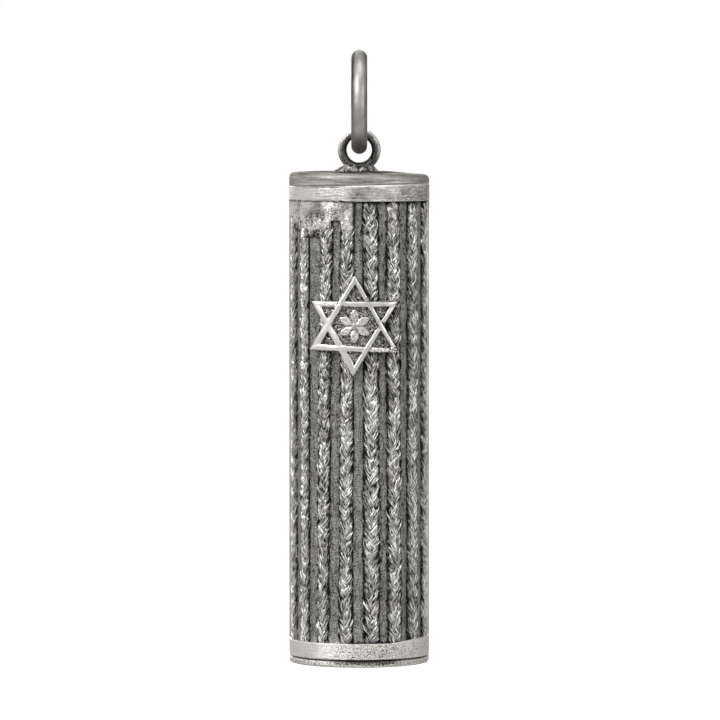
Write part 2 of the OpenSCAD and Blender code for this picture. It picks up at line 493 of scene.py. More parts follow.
solderSilver = makeSilver("flowed solder silver", {
    "along": (1.2, 1.2, 4), "brushTone": 0.12, "grain": 0.13, "grainTone": 0.1, "sandTone": 0.8,
    "sandDeep": 1.2, "grainDeep": 0.25, "low": 0.02, "high": 0.78, "oxide": tone(0.05, 0.03),
    "satin": tone(0.38, 0.04), "bare": tone(0.93, 0.02), "rough": (0.44, 0.32), "cloud": 1.2,
    "cloudAmount": 0.45, "tint": tone(0.6, 0.08), "bump": 0.03})
wireSilver = makeSilver("drawn wire silver", {
    "along": (9, 1.2, 1.2), "brushTone": 0.12, "contrast": 0.2, "grain": 0.1, "grainTone": 0.08,
    "low": -0.05, "high": 0.95, "oxide": tone(0.07, 0.03), "satin": tone(0.36, 0.035),
    "bare": tone(0.66, 0.025), "rough": (0.48, 0.44), "rim": tone(0.5), "cloud": 2.2,
    "tint": tone(0.6, 0.07), "brushDeep": 0.35, "grainDeep": 0.15, "bump": 0.01})
eyeSilver = makeSilver("darkened eye silver", {
    "along": (5, 5, 5), "brushTone": 0.2, "grain": 0.08, "grainTone": 0.25, "grainDeep": 0.6, "low": 0.15,
    "high": 0.9, "oxide": tone(0.03, 0.02), "satin": tone(0.25, 0.02), "bare": tone(0.8, 0.025),
    "rough": (0.45, 0.3), "cloud": 1.1, "bump": 0.014})
innerSilver = makeSilver("clean inner silver", {
    "along": (1.0, 1.0, 10), "brushTone": 0.15, "grain": 0.1, "grainTone": 0.05, "low": -0.4, "high": 0.75,
    "oxide": tone(0.1, 0.03), "satin": tone(0.5, 0.03), "rough": (0.36, 0.26), "cloud": 3.0,
    "cloudAmount": 0.25, "brushDeep": 0.4, "bump": 0.008})


def makeParchment():
    material, tree, shader, point = newMaterial("rolled parchment")
    fibre = useGroup(tree, brushMarks, {
        "Point": point, "Along": (7, 7, 1.6), "Contrast": 0.3}).outputs["Marks"]
    grain = useGroup(tree, sandGrain, {"Point": point, "Size": 0.16, "Pits": 0.3})
    fleck = spread(tree, grain.outputs["Grain"], 0.1, 0.9)
    base = blendColor(tree, fibre, (0.72, 0.62, 0.43, 1), (0.84, 0.76, 0.58, 1))
    base = blendColor(tree, sumOf(tree, "MULTIPLY", fleck, 0.35), base,
                      (0.66, 0.54, 0.35, 1))
    aged = useGroup(tree, cloudyTarnish, {
        "Color": base, "Point": point, "Size": 5.0, "Amount": 0.5, "Tint": (0.86, 0.76, 0.6, 1)})
    tree.links.new(aged.outputs["Color"], shader["Base Color"])
    tree.links.new(spread(tree, fleck, 0, 1, 0.7, 0.55), shader["Roughness"])
    bump = addNode(tree, "Bump", {"Height": fibre, "Distance": 0.012 * mm})
    tree.links.new(bump.outputs["Normal"], shader["Normal"])
    return material


def makeClearFilm():
    material, tree, shader, point = newMaterial("clear sleeve film")
    marks = useGroup(tree, brushMarks, {"Point": point, "Along": (3, 3, 0.4), "Contrast": 0.2})
    tree.links.new(spread(tree, marks.outputs["Marks"], 0, 1, 0.04, 0.16), shader["Roughness"])
    shader["Base Color"].default_value = (0.96, 0.98, 1.0, 1)
    shader["Transmission Weight"].default_value = 1.0
    shader["IOR"].default_value = 1.3
    return material


parchment = makeParchment()
clearFilm = makeClearFilm()
print("materials made:", len(bpy.data.materials))


# camera, light and floor

camSet = {"aim": (0.06, 1.5, -22.6), "distance": 457, "rise": 2.75, "lens": 297, "sensor": 36,
          "near": 0.01, "far": 20}  # rise in degrees, near and far in metres
lightSet = {
    "key": {"place": (-250, -300, 250), "size": 220, "watt": 1.35},
    "fill": {"place": (330, -260, 60), "size": 130, "watt": 0.4},
    "top": {"place": (60, -60, 420), "size": 300, "watt": 0.6},
    "back": {"place": (-60, 380, 160), "size": 320, "watt": 0.8},
}
roomSet = {
    "glow": 0.8, "floor": 0.38,    # how bright the room is, and the floor for what hangs over it
    "wide": 8, "deep": 0.1,        # metres, of the floor and down to it
}


def aimAt(ob, target):
    ob.rotation_euler = (Vector(target) - ob.location).to_track_quat("-Z", "Y").to_euler()


def makeCamera():
    data = bpy.data.cameras.new("camera")
    cam = addObject("camera", data)
    aim = Vector(camSet["aim"]) * mm
    rise = math.radians(camSet["rise"])
    cam.location = aim + Vector((0, -math.cos(rise), math.sin(rise))) * camSet["distance"] * mm
    aimAt(cam, aim)
    data.sensor_width = camSet["sensor"]
    data.lens = camSet["lens"]
    data.clip_start = camSet["near"]
    data.clip_end = camSet["far"]
    bpy.context.scene.camera = cam


def makeLights():
    for name, one in lightSet.items():
        data = bpy.data.lights.new(name, "AREA")
        data.size = one["size"] * mm
        data.energy = one["watt"]
        lamp = addObject(name, data)
        lamp.location = Vector(one["place"]) * mm
        aimAt(lamp, (0, 0, -0.022))


def makeRoom():
    # a white floor far below, and a white room that is greyer towards the camera's side
    world = bpy.data.worlds.new("studio")
    bpy.context.scene.world = world
    world.use_nodes = True
    tree = world.node_tree
    ownTrees.append(tree)
    tree.nodes.clear()
    direction = addNode(tree, "TexCoord").outputs["Generated"]
    parts = addNode(tree, "SeparateXYZ", {0: direction})
    up = spread(tree, parts.outputs["Z"], -0.5, 0.45, 0.4, 1.0)
    front = spread(tree, parts.outputs["Y"], -1.0, -0.7, 0.72, 1.0)
    side = spread(tree, parts.outputs["X"], -0.9, 0.9, 1.0, 0.62)
    soft = sumOf(tree, "MULTIPLY", sumOf(tree, "MULTIPLY", up, front), side)
    soft = sumOf(tree, "MULTIPLY", soft, roomSet["glow"])
    seen = addNode(tree, "LightPath").outputs["Is Camera Ray"]
    glow = addNode(tree, "Background", {"Color": (1, 0.99, 0.975, 1), "Strength": soft})
    white = addNode(tree, "Background", {"Color": (1, 1, 1, 1), "Strength": 1.0})
    mix = addNode(tree, "MixShader", {0: seen, 1: glow.outputs[0], 2: white.outputs[0]})
    out = addNode(tree, "OutputWorld")
    tree.links.new(mix.outputs[0], out.inputs["Surface"])
    bpy.context.scene.view_settings.view_transform = "Standard"

    floor = addShape("floor", bpy.ops.mesh.primitive_plane_add, size=roomSet["wide"],
                     location=(0, 0, -roomSet["deep"]))
    chalk, leaf, shader, point = newMaterial("white floor")
    cloud = addNode(leaf, "TexNoise", {"Vector": point, "Scale": 3.0})
    seen = addNode(leaf, "LightPath").outputs["Is Camera Ray"]
    pale = blendColor(leaf, cloud.outputs["Fac"], (0.93, 0.93, 0.93, 1), (0.95, 0.95, 0.95, 1))
    dim = roomSet["floor"]
    leaf.links.new(blendColor(leaf, seen, (dim, dim, dim, 1), pale), shader["Base Color"])
    leaf.links.new(blendColor(leaf, seen, (0, 0, 0, 1), (0.75, 0.75, 0.75, 1)),
                   shader["Emission Color"])
    shader["Roughness"].default_value = 0.9
    shader["Emission Strength"].default_value = 1.0
    floor.data.materials.append(chalk)


makeCamera()
makeLights()
makeRoom()
for tree in ownTrees:
    layOut(tree)
print("camera, lights and floor set")


# the half-round shell and the flat back

def bandShadeAndOxide(co):
    # painted shade and oxide: the black line under the top band, right of the solder, and over the bottom
    # one
    top = np.exp(-np.clip((bandLow.z - co[:, 2]) / (0.17 * mm), 0, 9) ** 2) * smooth(co[:, 0] / mm, -0.4, 0)
    foot = np.exp(-np.clip((co[:, 2] - footHigh.z) / (0.12 * mm), 0, 9) ** 2) * smooth(co[:, 0] / mm, -1, 0)
    return top + 0.8 * foot


def starShadow(co):
    # painted shadow of the plaque, cast down and right onto what lies along its right and lower edges
    x, z = co[:, 0] / mm - 0.07, co[:, 2] / mm + 0.12 - starMiddle
    near = []
    for first in (-90, -30):
        angles = np.radians(first + 120 * np.arange(3))
        near.append(np.max([x * math.cos(a) + z * math.sin(a) for a in angles], axis=0))
    return 0.6 * (1 - smooth(np.minimum(*near), 1.88, 2.0)) * (co[:, 1] < axisY)


def aroundAxis(co):
    flat = co[:, :2] - (0, axisY)
    r = np.linalg.norm(flat, axis=1)
    return flat / r[:, None], r


shellSet = {"cuts": (0.02, 0.12, 0.22, 0.4, 0.9)}  # rings cut next to the bands, to darken them


def makeShell():
    ob = cadCopy("front_shell", "shell_body")
    pick(ob)
    bpy.ops.object.mode_set(mode="EDIT")
    for cut in shellSet["cuts"]:
        for height in (bandLow.z - cut * mm, footHigh.z + cut * mm):
            bpy.ops.mesh.select_all(action="SELECT")
            bpy.ops.mesh.bisect(plane_co=(0, 0, height), plane_no=(0, 0, 1))
    bpy.ops.object.mode_set(mode="OBJECT")
    smoothShade(ob, 30)
    co = readPoints(ob)
    # paler over the bottom band on the left, where its solder ran
    run = smooth(-co[:, 0] / mm, 0.2, 1.2) * (1 - smooth((co[:, 2] - footHigh.z) / mm, 0.15, 0.9))
    # the dark line next to the bands is painted shade and oxide
    paint(ob, "reliefAndShading", 0.5 - 0.5 * bandShadeAndOxide(co) + 0.28 * run)
    seat(ob, "case", "dark_silver", shellSilver, "front_shell")


backSet = {"voxel": 0.12, "dent": 0.018}


def makeBack():
    ob = fuse(cadCopy("back_plate", "back_sheet"), backSet["voxel"], 2)
    co = readPoints(ob)
    co[:, 1] += wobble(co, 3.5 * mm, 4) * backSet["dent"] * mm * (co[:, 1] > axisY + 1.2 * mm)
    writePoints(ob, co)
    edge = np.maximum(abs(co[:, 0]) / bandR, abs(co[:, 2] - co[:, 2].mean()) / np.ptp(co[:, 2]) * 2)
    paint(ob, "reliefAndShading", 0.62 + 0.3 * (proud(ob) - 0.5) - 0.22 * smooth(edge, 0.86, 1.0)
          + 0.12 * wobble(co, 2.5 * mm, 9))
    seat(ob, "case", "silver", backSilver, "back_plate")


makeShell()
makeBack()
print("shell and back done")


# bands and end plates, cut and filed by hand

stripSet = {
    "voxel": 0.07, "plateVoxel": 0.08,
    "seamLift": 0.18,     # the top band's upper edge stands higher at the right
    "plateDrop": 0.26,    # the top plate is filed thinner at the right
    "plateDropLeft": 0.06,
    "plateWave": 0.03,
    "rimRound": 0.36,
    "footLift": 0.26,     # the bottom band is taller at the right
    "dent": 0.02,
}
# how light each piece is and how much its edges stand out, and then the painted light and shade across it,
# from its left end, -1, to its right end, 1: ramps are amount, side, start and end; hills are amount,
# place, width
stripTonesAndShading = {
    "top": {"plain": 0.52, "edges": 0.4,
            "ramps": ((0.1, -1, 0.0, 0.3), (0.34, -1, 0.55, 0.85), (0.06, 1, 0.7, 1.0)),
            "hills": ((0.06, 0.35, 0.25), (-0.16, 0.02, 0.2), (-0.05, -0.4, 0.2))},
    "foot": {"plain": 0.68, "edges": 0.35, "ramps": ((0.26, -1, 0.45, 0.9), (0.24, 1, 0.4, 0.9)),
             "hills": ()},
    "plate": {"plain": 0.46, "edges": 0.4, "ramps": ((0.14, -1, 0.3, 1.0), (0.16, 1, 0.35, 0.9)),
              "hills": ((-0.13, -0.05, 0.4),)},
    "cap": {"plain": 0.66, "edges": 0.45, "ramps": (), "hills": ()},
}


def stripToneAndShading(ob, x, look):
    # the strip's tone and edge wear, with the painted light and shade of its ramps and hills
    value = look["plain"] + look["edges"] * (proud(ob) - 0.5)
    for much, side, low, high in look["ramps"]:
        value += much * smooth(side * x, low, high)
    for much, at, wide in look["hills"]:
        value += much * hill(x, at, wide)
    return value


def seamLift(co):
    front = 1 - smooth(co[:, 1], axisY + 0.2 * mm, axisY + 0.85 * mm)
    return stripSet["seamLift"] * mm * (smooth(co[:, 0], -bandR, bandR) - 0.85) * front


def dented(co, seed, size=1.6):
    # a shallow unevenness straight out of the case's front
    out = co[:, :2] - (0, axisY)
    out[:, 1] = np.minimum(out[:, 1], 0)
    out /= np.linalg.norm(out, axis=1)[:, None] + 1e-9
    depth = wobble(co, size * mm, seed) * stripSet["dent"] * mm
    co[:, :2] += out * (depth - stripSet["dent"] * mm)[:, None]


def makeTopBand():
    ob = fuse(cadCopy("top_band", "top_strip"), stripSet["voxel"], 1)
    co = readPoints(ob)
    rise = smooth(co[:, 2], bandLow.z, bandHigh.z)
    co[:, 2] += seamLift(co) * rise
    dented(co, 3)
    writePoints(ob, co)
    x = co[:, 0] / bandR
    reliefAndShading = stripToneAndShading(ob, x, stripTonesAndShading["top"])
    # a thin line of oxide lies in both seams on the left, and a painted highlight runs along the upper edge
    # on the right
    upper = smooth(rise, 0.96, 0.99)
    reliefAndShading -= (0.3 * (1 - smooth(rise, 0.02, 0.06)) + 0.5 * upper) * (1 - smooth(x, -0.35, -0.1))
    reliefAndShading += 0.4 * upper * smooth(x, -0.3, 0.0)
    paint(ob, "reliefAndShading", reliefAndShading + 0.2 * wobble(co, 0.8 * mm, 12) + 0.12 * wobble(co, 0.25 * mm, 3))
    # smooth on the left, pitted on the right
    paint(ob, "sand", 0.08 + 0.75 * smooth(x, 0.3, 0.85) * (0.6 + 0.4 * wobble(co, 0.7 * mm, 5)))
    seat(ob, "case", "silver", bandSilver, "top_band")


def makeBottomBand():
    ob = fuse(cadCopy("bottom_band", "bottom_strip"), stripSet["voxel"], 1)
    co = readPoints(ob)
    rise = smooth(co[:, 2], footLow.z, footHigh.z)
    lift = smooth(co[:, 0], 0.35 * bandR, bandR) * stripSet["footLift"] * mm
    co[:, 2] += lift * rise
    dented(co, 7)
    writePoints(ob, co)
    x = co[:, 0] / bandR
    reliefAndShading = stripToneAndShading(ob, x, stripTonesAndShading["foot"])
    paint(ob, "reliefAndShading", reliefAndShading + 0.14 * wobble(co, 0.7 * mm, 2) + 0.1 * wobble(co, 0.22 * mm, 6))
    sand = 0.8 * smooth(x, -0.6, -0.1) * (0.75 + 0.25 * wobble(co, 0.8 * mm, 8))
    paint(ob, "sand", 0.1 + sand * (1 - 0.4 * smooth(x, 0.5, 0.9)))
    seat(ob, "case", "silver", bandSilver, "bottom_band")


def makeTopPlate():
    ob = fuse(cadCopy("top_plate", "end_plate_top"), stripSet["plateVoxel"], 1)
    co = readPoints(ob)
    rise = smooth(co[:, 2], plateLow.z, plateHigh.z)
    x = co[:, 0] / bandR
    drop = stripSet["plateDrop"] * smooth(x, 0.3, 1.0) + stripSet["plateDropLeft"] * smooth(-x, 0.5, 1.0)
    co[:, 2] += seamLift(co) * (1 - rise) - drop * mm * rise
    co[:, 2] += np.minimum(wobble(co, 2.2 * mm, 6) * stripSet["plateWave"], 0) * mm * rise
    # its upper rim is filed round
    bend = stripSet["rimRound"]
    near = np.clip((aroundAxis(co)[1] - bandR) / mm + bend, 0, bend)
    fall = bend - np.sqrt(np.maximum(bend ** 2 - near ** 2, 0))
    co[:, 2] -= fall * mm * rise ** 2 * (co[:, 1] < axisY + 1.5 * mm)
    dented(co, 5)
    writePoints(ob, co)
    # painted shade on its upward faces makes its top darker than its rim
    reliefAndShading = stripToneAndShading(ob, x, stripTonesAndShading["plate"]) - 0.4 * smooth(readNormals(ob)[:, 2], 0.1, 0.6)
    paint(ob, "reliefAndShading", reliefAndShading + 0.1 * wobble(co * (0.5, 0.5, 2), 1.0 * mm, 21))
    paint(ob, "sand", 0.3 * smooth(x, 0.5, 0.9))
    seat(ob, "case", "silver", plateSilver, "top_plate")


def makeBottomCap():
    ob = fuse(cadCopy("bottom_cap", "cap_plate"), stripSet["plateVoxel"], 1)
    co = readPoints(ob)
    dented(co, 11)
    writePoints(ob, co)
    x = co[:, 0] / bandR
    reliefAndShading = stripToneAndShading(ob, x, stripTonesAndShading["cap"])
    # painted shade and oxide in the seam over it, in front and right of its middle
    upper = smooth(co[:, 2], co[:, 2].min() + 0.12 * mm, co[:, 2].max() - 0.08 * mm)
    shade = upper * (1 - smooth(np.abs(x - 0.11 + 0.05 * wobble(co, 0.8 * mm, 2)), 0.3, 0.56))
    shade *= co[:, 1] < axisY
    paint(ob, "reliefAndShading", reliefAndShading - 0.95 * shade + 0.14 * wobble(co, 0.6 * mm, 31))
    paint(ob, "sand", 0.75)
    seat(ob, "bottom_cap", "silver", bandSilver, "bottom_cap")


collarSet = {"round": 0.05, "segments": 2}


def makeCollar():
    ob = cadCopy("cap_collar", "collar_wall")
    rim = ob.modifiers.new("rim", "BEVEL")
    rim.width = collarSet["round"] * mm
    rim.segments = collarSet["segments"]
    rim.limit_method = "ANGLE"
    rim.angle_limit = math.radians(40)
    applyAll(ob)
    smoothShade(ob, 30)
    paint(ob, "reliefAndShading", 0.5)
    seat(ob, "bottom_cap", "silver", innerSilver, "cap_collar")


makeTopBand()
makeBottomBand()
makeTopPlate()
makeBottomCap()
makeCollar()
print("bands, plates and cap done")


# the eight plaited cords

cordSet = {
    "wires": 4,          # in each of the three strands
    "wire": 0.058,       # radius of a wire
    "apart": 0.15,       # from wire to wire
    "swing": 0.31,       # of a strand to each side
    "turn": 3.3,         # height of one whole round of the plait
    "dive": 0.06,        # over and under
    "late": 0.75,        # how far its turns run early or late
    "swingVaries": 0.22, "thickVaries": 0.7,
    "stray": 0.12, "strayFine": 0.05,    # of a wire to its side
    "strayUp": 0.16,
    "wander": 0.07,      # of the whole cord
    "middle": 0.15,      # wires above the shell at the crown
    "fall": 0.12,        # lower than that at the cord's edges
    "step": 0.09,
    "strokes": 110,      # short ends that lie over the plait
    "strokeLong": (0.35, 0.95), "strokeOut": (0.16, 0.56), "strokeLean": (8, 42),
    "strokeCrown": (0.17, 0.27), "strokeThick": (0.55, 1.2), "strokePoints": 7,
    "barbs": 26,         # loose ends that stick out at the sides
    "barbLong": (0.45, 0.95), "barbOut": (0.54, 0.72), "barbIn": 0.16, "barbLeft": 0.6, "barbPoints": 8,
    "bark": 0.058,       # voxel of the rough mass between the wires
    "barkHigh": 0.66,    # its height, as a share of the cord's
    "barkRough": 0.12,   # how deep its herringbone is cut
    "lean": 27,          # slope of the herringbone, in degrees
}
# for each cord: shift at the top and at the bottom, width, how bright it is rubbed, how dark its edges are
cordLooks = [
    {"top": -0.1, "bottom": -0.06, "wide": 1.25, "rub": 0.26, "gutter": 0.1},
    {"top": -0.02, "bottom": 0.02, "wide": 0.95, "rub": 0.17, "gutter": 0.3},
    {"top": 0.26, "bottom": -0.08, "wide": 1.0, "rub": 0.06, "gutter": 0.28},
    {"top": 0.04, "bottom": -0.08, "wide": 1.0, "rub": 0.07, "gutter": 0.3},
    {"top": -0.12, "bottom": 0.02, "wide": 1.16, "rub": 0.05, "gutter": 0.3},
    {"top": -0.2, "bottom": -0.02, "wide": 1.14, "rub": 0.09, "gutter": 0.3},
    {"top": -0.12, "bottom": -0.1, "wide": 1.14, "rub": 0.12, "gutter": 0.28},
    {"top": 0.02, "bottom": 0.04, "wide": 1.25, "rub": 0.2, "gutter": 0.1},
]


def shake(a, b, c):
    return noise.noise(Vector((a, b, c)))


def onShell(angle, across, height, up):
    # a point beside the cord's middle line, in millimetres across and above the shell
    turned = angle + across / (shellR / mm)
    r = shellR / mm + height
    return (r * math.sin(turned), axisY / mm - r * math.cos(turned), up)


def drift(look, share):
    # how far a cord stands off its line, from its bottom, 0, to its top, 1
    return look["bottom"] + (look["top"] - look["bottom"]) * share


def plaitWire(strand, wire, low, high, look, seed):
    s = cordSet
    offset = (wire - (s["wires"] - 1) / 2) * s["apart"] * look["wide"]
    points = []
    count = int((high - low + 0.3) / s["step"])
    for i in range(count + 1):
        up = low - 0.15 + (high - low + 0.3) * i / count
        t = up + s["late"] * shake(up * 0.42, seed, 0.5)
        phase = 2 * math.pi * (t / s["turn"] + strand / 3 + seed * 0.37)
        swing = s["swing"] * look["wide"] * (1 + s["swingVaries"] * shake(up * 0.5, seed, 7.5))
        slope = swing * 2 * math.pi / s["turn"] * math.cos(phase)
        norm = math.sqrt(1 + slope * slope)
        across = swing * math.sin(phase) + offset / norm
        across += s["stray"] * shake(up * 1.5, seed + wire * 2.7, strand * 5.1)
        across += s["strayFine"] * shake(up * 4.0, seed - wire * 2.7, strand * 5.1)
        part = min(1.0, abs(across) / (0.6 * look["wide"]))
        height = s["middle"] + s["dive"] * math.sin(2 * phase) - s["fall"] * part ** 2
        height += s["strayUp"] * shake(up * 1.6, seed - wire * 1.9, strand * 3.3)
        height -= 0.02 * abs(wire - (s["wires"] - 1) / 2)
        across += drift(look, (up - low) / (high - low))
        across += s["wander"] * shake(up * 0.16, seed, 11.5)
        thick = 1 + s["thickVaries"] * shake(up * 1.9, seed + wire * 4.1, strand * 2.3)
        points.append((across, height, up - offset * slope / norm, thick))
    return points


def barbWire(low, high, look, dice):
    # a loose end: it lies on the shell outside, and runs down and in under the plait
    c = cordSet
    side = -1 if dice.random() < c["barbLeft"] else 1
    up = dice.uniform(low + 0.8, high - 0.2)
    length = dice.uniform(*c["barbLong"])
    outer = dice.uniform(*c["barbOut"]) * look["wide"]
    middle = drift(look, (up - low) / (high - low))
    points = []
    for f in np.linspace(0, 1, c["barbPoints"]):
        across = side * (outer - (outer - c["barbIn"]) * f ** 0.85) + middle
        height = 0.01 + 0.15 * math.sin(math.pi * min(1.0, 0.12 + 0.6 * f))
        thick = 0.45 + 0.4 * math.sin(math.pi * (0.15 + 0.7 * f))
        points.append((across, height, up - length * f, thick))
    return points


def strokeWire(low, high, look, dice):
    # a short end that comes up between the strands, runs down and inwards, and goes under again
    c = cordSet
    side = dice.choice((-1, 1))
    up = dice.uniform(low + 0.2, high - 0.05)
    length = dice.uniform(*c["strokeLong"])
    lean = math.tan(math.radians(dice.uniform(*c["strokeLean"])))
    outer = dice.uniform(*c["strokeOut"]) * look["wide"]
    middle = drift(look, (up - low) / (high - low))
    crown = dice.uniform(*c["strokeCrown"])
    strong = dice.uniform(*c["strokeThick"])
    points = []
    for f in np.linspace(0, 1, c["strokePoints"]):
        across = max(outer - lean * length * f, -0.3)
        arch = math.sin(math.pi * (0.08 + 0.84 * f))
        height = (crown - 0.3 * across * across) * arch ** 0.5 - 0.02
        points.append((side * across + middle, height, up - length * f, strong * arch ** 0.7))
    return points


def wiresToMesh(name, angle, wires):
    curve = bpy.data.curves.new(name, "CURVE")
    curve.dimensions = "3D"
    curve.bevel_depth = cordSet["wire"]
    curve.bevel_resolution = 1
    curve.use_fill_caps = True
    for points in wires:
        spline = curve.splines.new("POLY")
        spline.points.add(len(points) - 1)
        for point, (across, height, up, thick) in zip(spline.points, points):
            point.co = (*onShell(angle, across, height, up), 1)
            point.radius = thick
    pick(addObject(name, curve))
    bpy.ops.object.convert(target="MESH")
    ob = bpy.context.active_object
    ob.data.transform(Matrix.Scale(mm, 4))
    smoothShade(ob)
    return ob


def makeBark(node, number, angle, look, seed):
    # the rough mass that fills a cord, cut in a herringbone that points down
    low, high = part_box(node)
    bark = fuse(cadCopy(node, f"bark_{number}"), cordSet["bark"], 0)
    co = readPoints(bark)
    out, r = aroundAxis(co)
    shift = drift(look, (co[:, 2] - low.z) / (high.z - low.z))
    shift += cordSet["wander"] * wobble(co * (0, 0, 1), 6 * mm, seed)
    across = (np.arctan2(out[:, 0], -out[:, 1]) - angle) * shellR / mm * look["wide"]
    across *= 1 + 0.16 * wobble(co * (0.3, 0.3, 1), 0.9 * mm, seed + 5)
    lean = math.radians(cordSet["lean"])
    inward = np.abs(across + 0.1 * wobble(co * (0, 0, 1), 1.5 * mm, seed + 8))
    up = co[:, 2] / mm
    along = inward * math.sin(lean) + up * math.cos(lean)
    over = inward * math.cos(lean) - up * math.sin(lean)
    cut = wobble(np.c_[along / 0.5, over / 0.12, np.sign(across) * 9], 1.0, seed)
    cut += 0.5 * wobble(np.c_[along / 0.25, over / 0.07, np.sign(across) * 9], 1.0, seed + 3)
    rise = np.clip((r - shellR) / (bandR - shellR), 0, 1)
    depth = cordSet["barkRough"] * cut * smooth(rise, 0.05, 0.5)
    r = shellR + (r - shellR) * cordSet["barkHigh"] * (1 + 0.35 * wobble(co, 0.8 * mm, seed + 1))
    r += depth * mm
    r = np.minimum(r, bandR - 0.03 * mm)
    turned = angle + (across + shift) * mm / shellR
    co[:, :2] = np.c_[np.sin(turned), -np.cos(turned)] * r[:, None] + (0, axisY)
    writePoints(bark, co)
    reliefAndShading = 0.36 * smooth(rise, 0.2, 0.8) + 0.6 * cut + 0.02 + 0.7 * look["rub"]
    gutter = smooth(np.abs(across), 0.38, 0.56) * (1 - 0.6 * smooth(-across, 0, 0.5))
    reliefAndShading -= look["gutter"] * gutter * (1 + wobble(co, 0.7 * mm, seed + 6))
    # painted shade and oxide by the bands, and the star plaque's painted shadow
    reliefAndShading += 0.2 * wobble(co, 1.3 * mm, seed + 2) - 0.6 * bandShadeAndOxide(co) - 0.36 * starShadow(co)
    paint(bark, "reliefAndShading", np.clip(reliefAndShading, 0, 1.1))
    return bark


def makeCord(number):
    node = f"cord_{number}"
    look = cordLooks[number - 1]
    seed = number * 13.7
    dice = random.Random(900 + number)
    low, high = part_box(node)
    middle = readPoints(nodes[node]).mean(0)
    angle = math.atan2(middle[0], axisY - middle[1])
    wires = []
    for strand in range(3):
        for wire in range(cordSet["wires"]):
            wires.append(plaitWire(strand, wire, low.z / mm, high.z / mm, look, seed))
    for _ in range(cordSet["barbs"]):
        wires.append(barbWire(low.z / mm, high.z / mm, look, dice))
    for _ in range(cordSet["strokes"]):
        wires.append(strokeWire(low.z / mm, high.z / mm, look, dice))
    plait = wiresToMesh(f"plait_{number}", angle, wires)

    # worn flat where it stands highest
    co = readPoints(plait)
    out, r = aroundAxis(co)
    limit = bandR - (0.035 + 0.03 * wobble(co, 0.5 * mm, seed)) * mm
    r = np.minimum(r, limit)
    co[:, :2] = out * r[:, None] + (0, axisY)
    writePoints(plait, co)
    facing = (readNormals(plait)[:, :2] * out).sum(1)
    share = (r - shellR) / (bandR - shellR)
    # worn bright on each wire's outward crest where it stands high, with a painted highlight there, and
    # oxide on its flanks
    reliefAndShading = 0.3 * smooth(facing, 0.3, 1.0) * smooth(share, 0.0, 0.8) + 0.62 * smooth(share, 0.42, 1.0)
    reliefAndShading += look["rub"] + 0.2 * wobble(co, 1.3 * mm, seed + 2) + 0.4 * wobble(co, 0.3 * mm, seed)
    # painted shade and oxide by the bands, and the star plaque's painted shadow
    reliefAndShading -= 0.7 * bandShadeAndOxide(co) + 0.42 * starShadow(co)
    paint(plait, "reliefAndShading", np.clip(reliefAndShading, 0, 1.2))
    ob = joinAll([plait, makeBark(node, number, angle, look, seed)], f"plait_{number}")
    seat(ob, "case", "cord_silver", cordSilver, node)


for number in range(1, 9):
    makeCord(number)
print("cords plaited")


# the flood of solder at the top left

floodSet = {
    "from": -86, "to": -1.5,   # degrees round the shell
    "columns": 190, "rows": 70,
    "deep": 3.6,               # lowest point below the band
    "proud": 0.332,            # above the shell, before it is sunk
    "sunk": 0.04, "wall": 0.12,
    # dark stains: across and below the band, each with its spread, and how strong
    "stains": ((-3.2, 0.6, 0.7, 0.6, 1.0), (-3.3, 0.6, 2.3, 0.5, 0.4), (-0.3, 0.2, 0.4, 0.4, 0.5)),
    # where it ends below the band, by distance from the middle, and how softly
    "across": (-5.4, -4.3, -3.1, -2.35, -2.2, -1.5, -1.36, -0.6, -0.38, -0.25),
    "ends": (1.5, 2.2, 2.3, 1.9, 1.5, 1.45, 2.3, 2.35, 2.2, 0.0),
    "soft": (1.4, 1.6, 1.3, 0.8, 0.18, 0.16, 0.3, 0.3, 0.3, 0.2),
}


